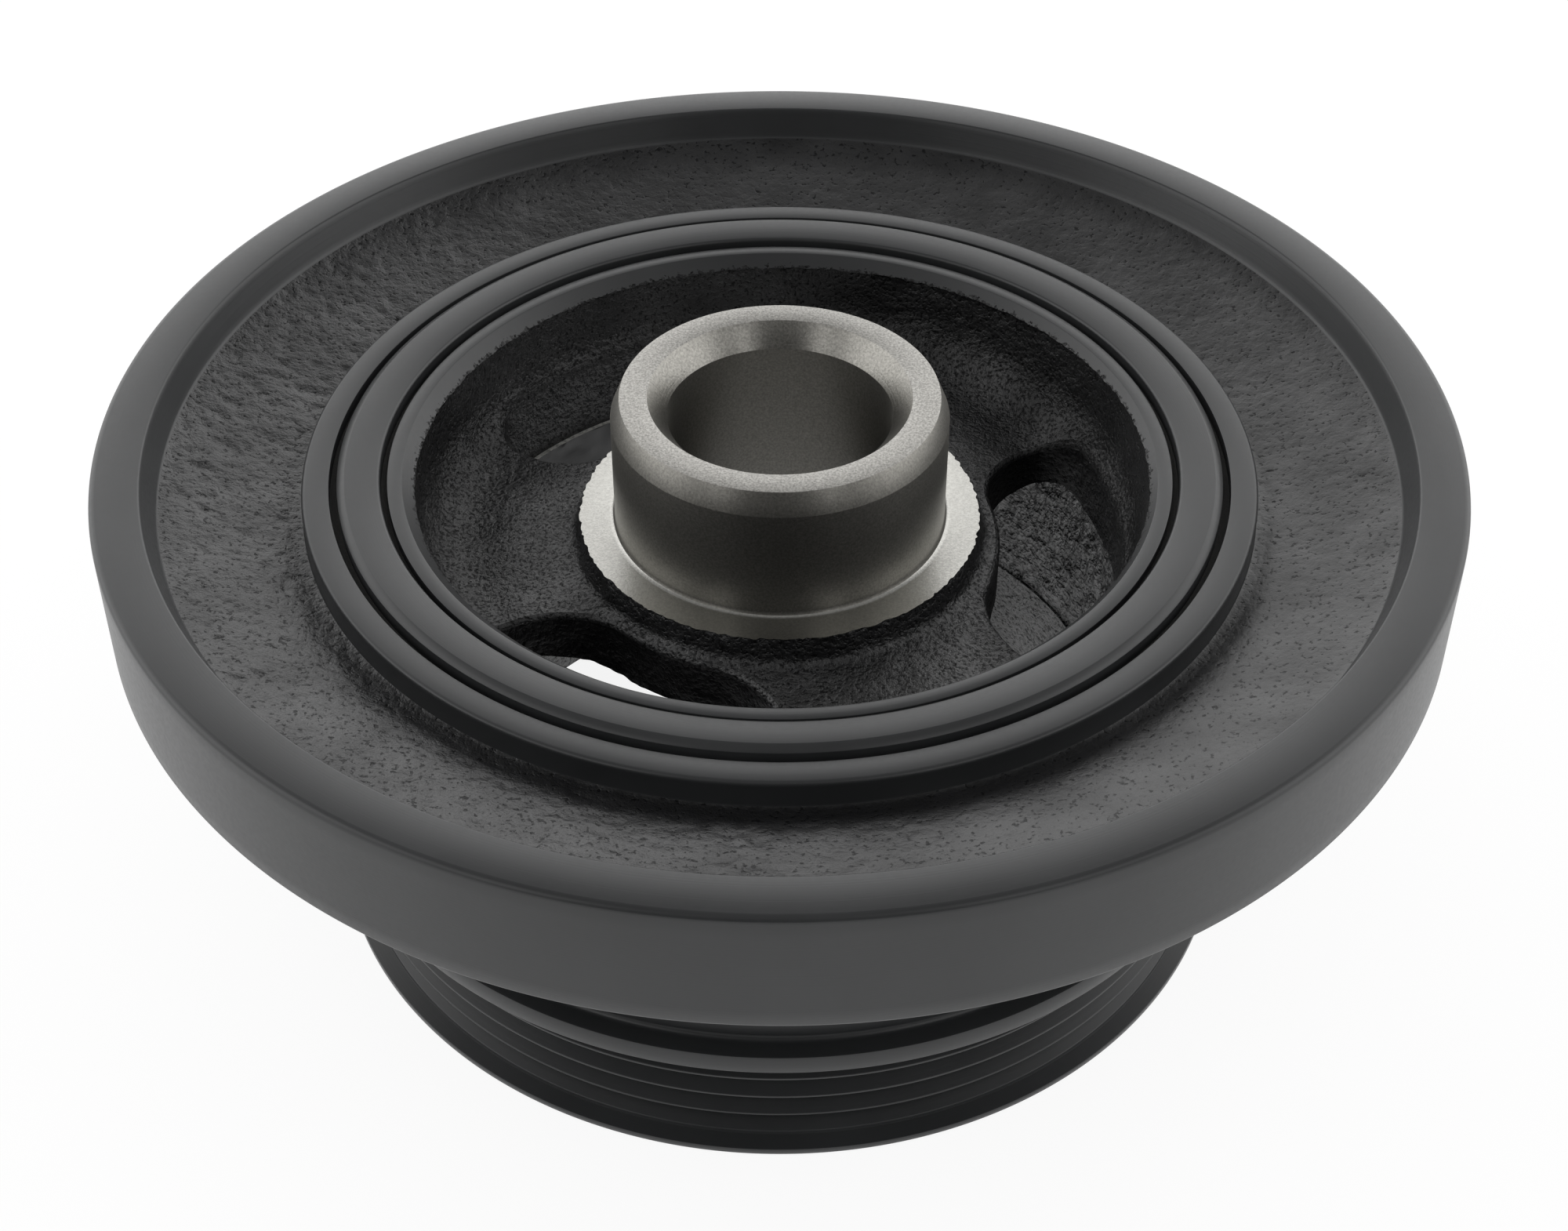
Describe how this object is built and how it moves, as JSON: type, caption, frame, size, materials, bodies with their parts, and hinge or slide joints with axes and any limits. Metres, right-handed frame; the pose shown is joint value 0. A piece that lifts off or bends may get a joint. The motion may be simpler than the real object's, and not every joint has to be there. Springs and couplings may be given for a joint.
{
  "type": "harmonic balancer",
  "caption": "Crankshaft harmonic balancer: a cast hub with a snout and its own multi-rib belt pulley, carrying a sleeve and a heavy inertia ring on bonded rubber.",
  "frame": {"origin": "on the crank axis, in the plane of the pulley's front face, which is the lowest face", "axes": "+Z along the crank axis from the pulley towards the snout and the engine; +X towards the first web window, which is 4.3 degrees clockwise of it"},
  "size_m": [0.18, 0.18, 0.0762],
  "materials": {
    "hub_casting": "black-coated iron casting, with a bright ground journal and end face on the snout",
    "damper_rings": "turned iron under a thin dark coating, satin",
    "rubber": "matt black moulded rubber"
  },
  "bodies": {
    "root": {"hub": "hub_casting", "inner_rubber": "rubber", "sleeve_ring": "damper_rings", "outer_rubber": "rubber", "inertia_ring": "damper_rings"}
  },
  "joints": []
}
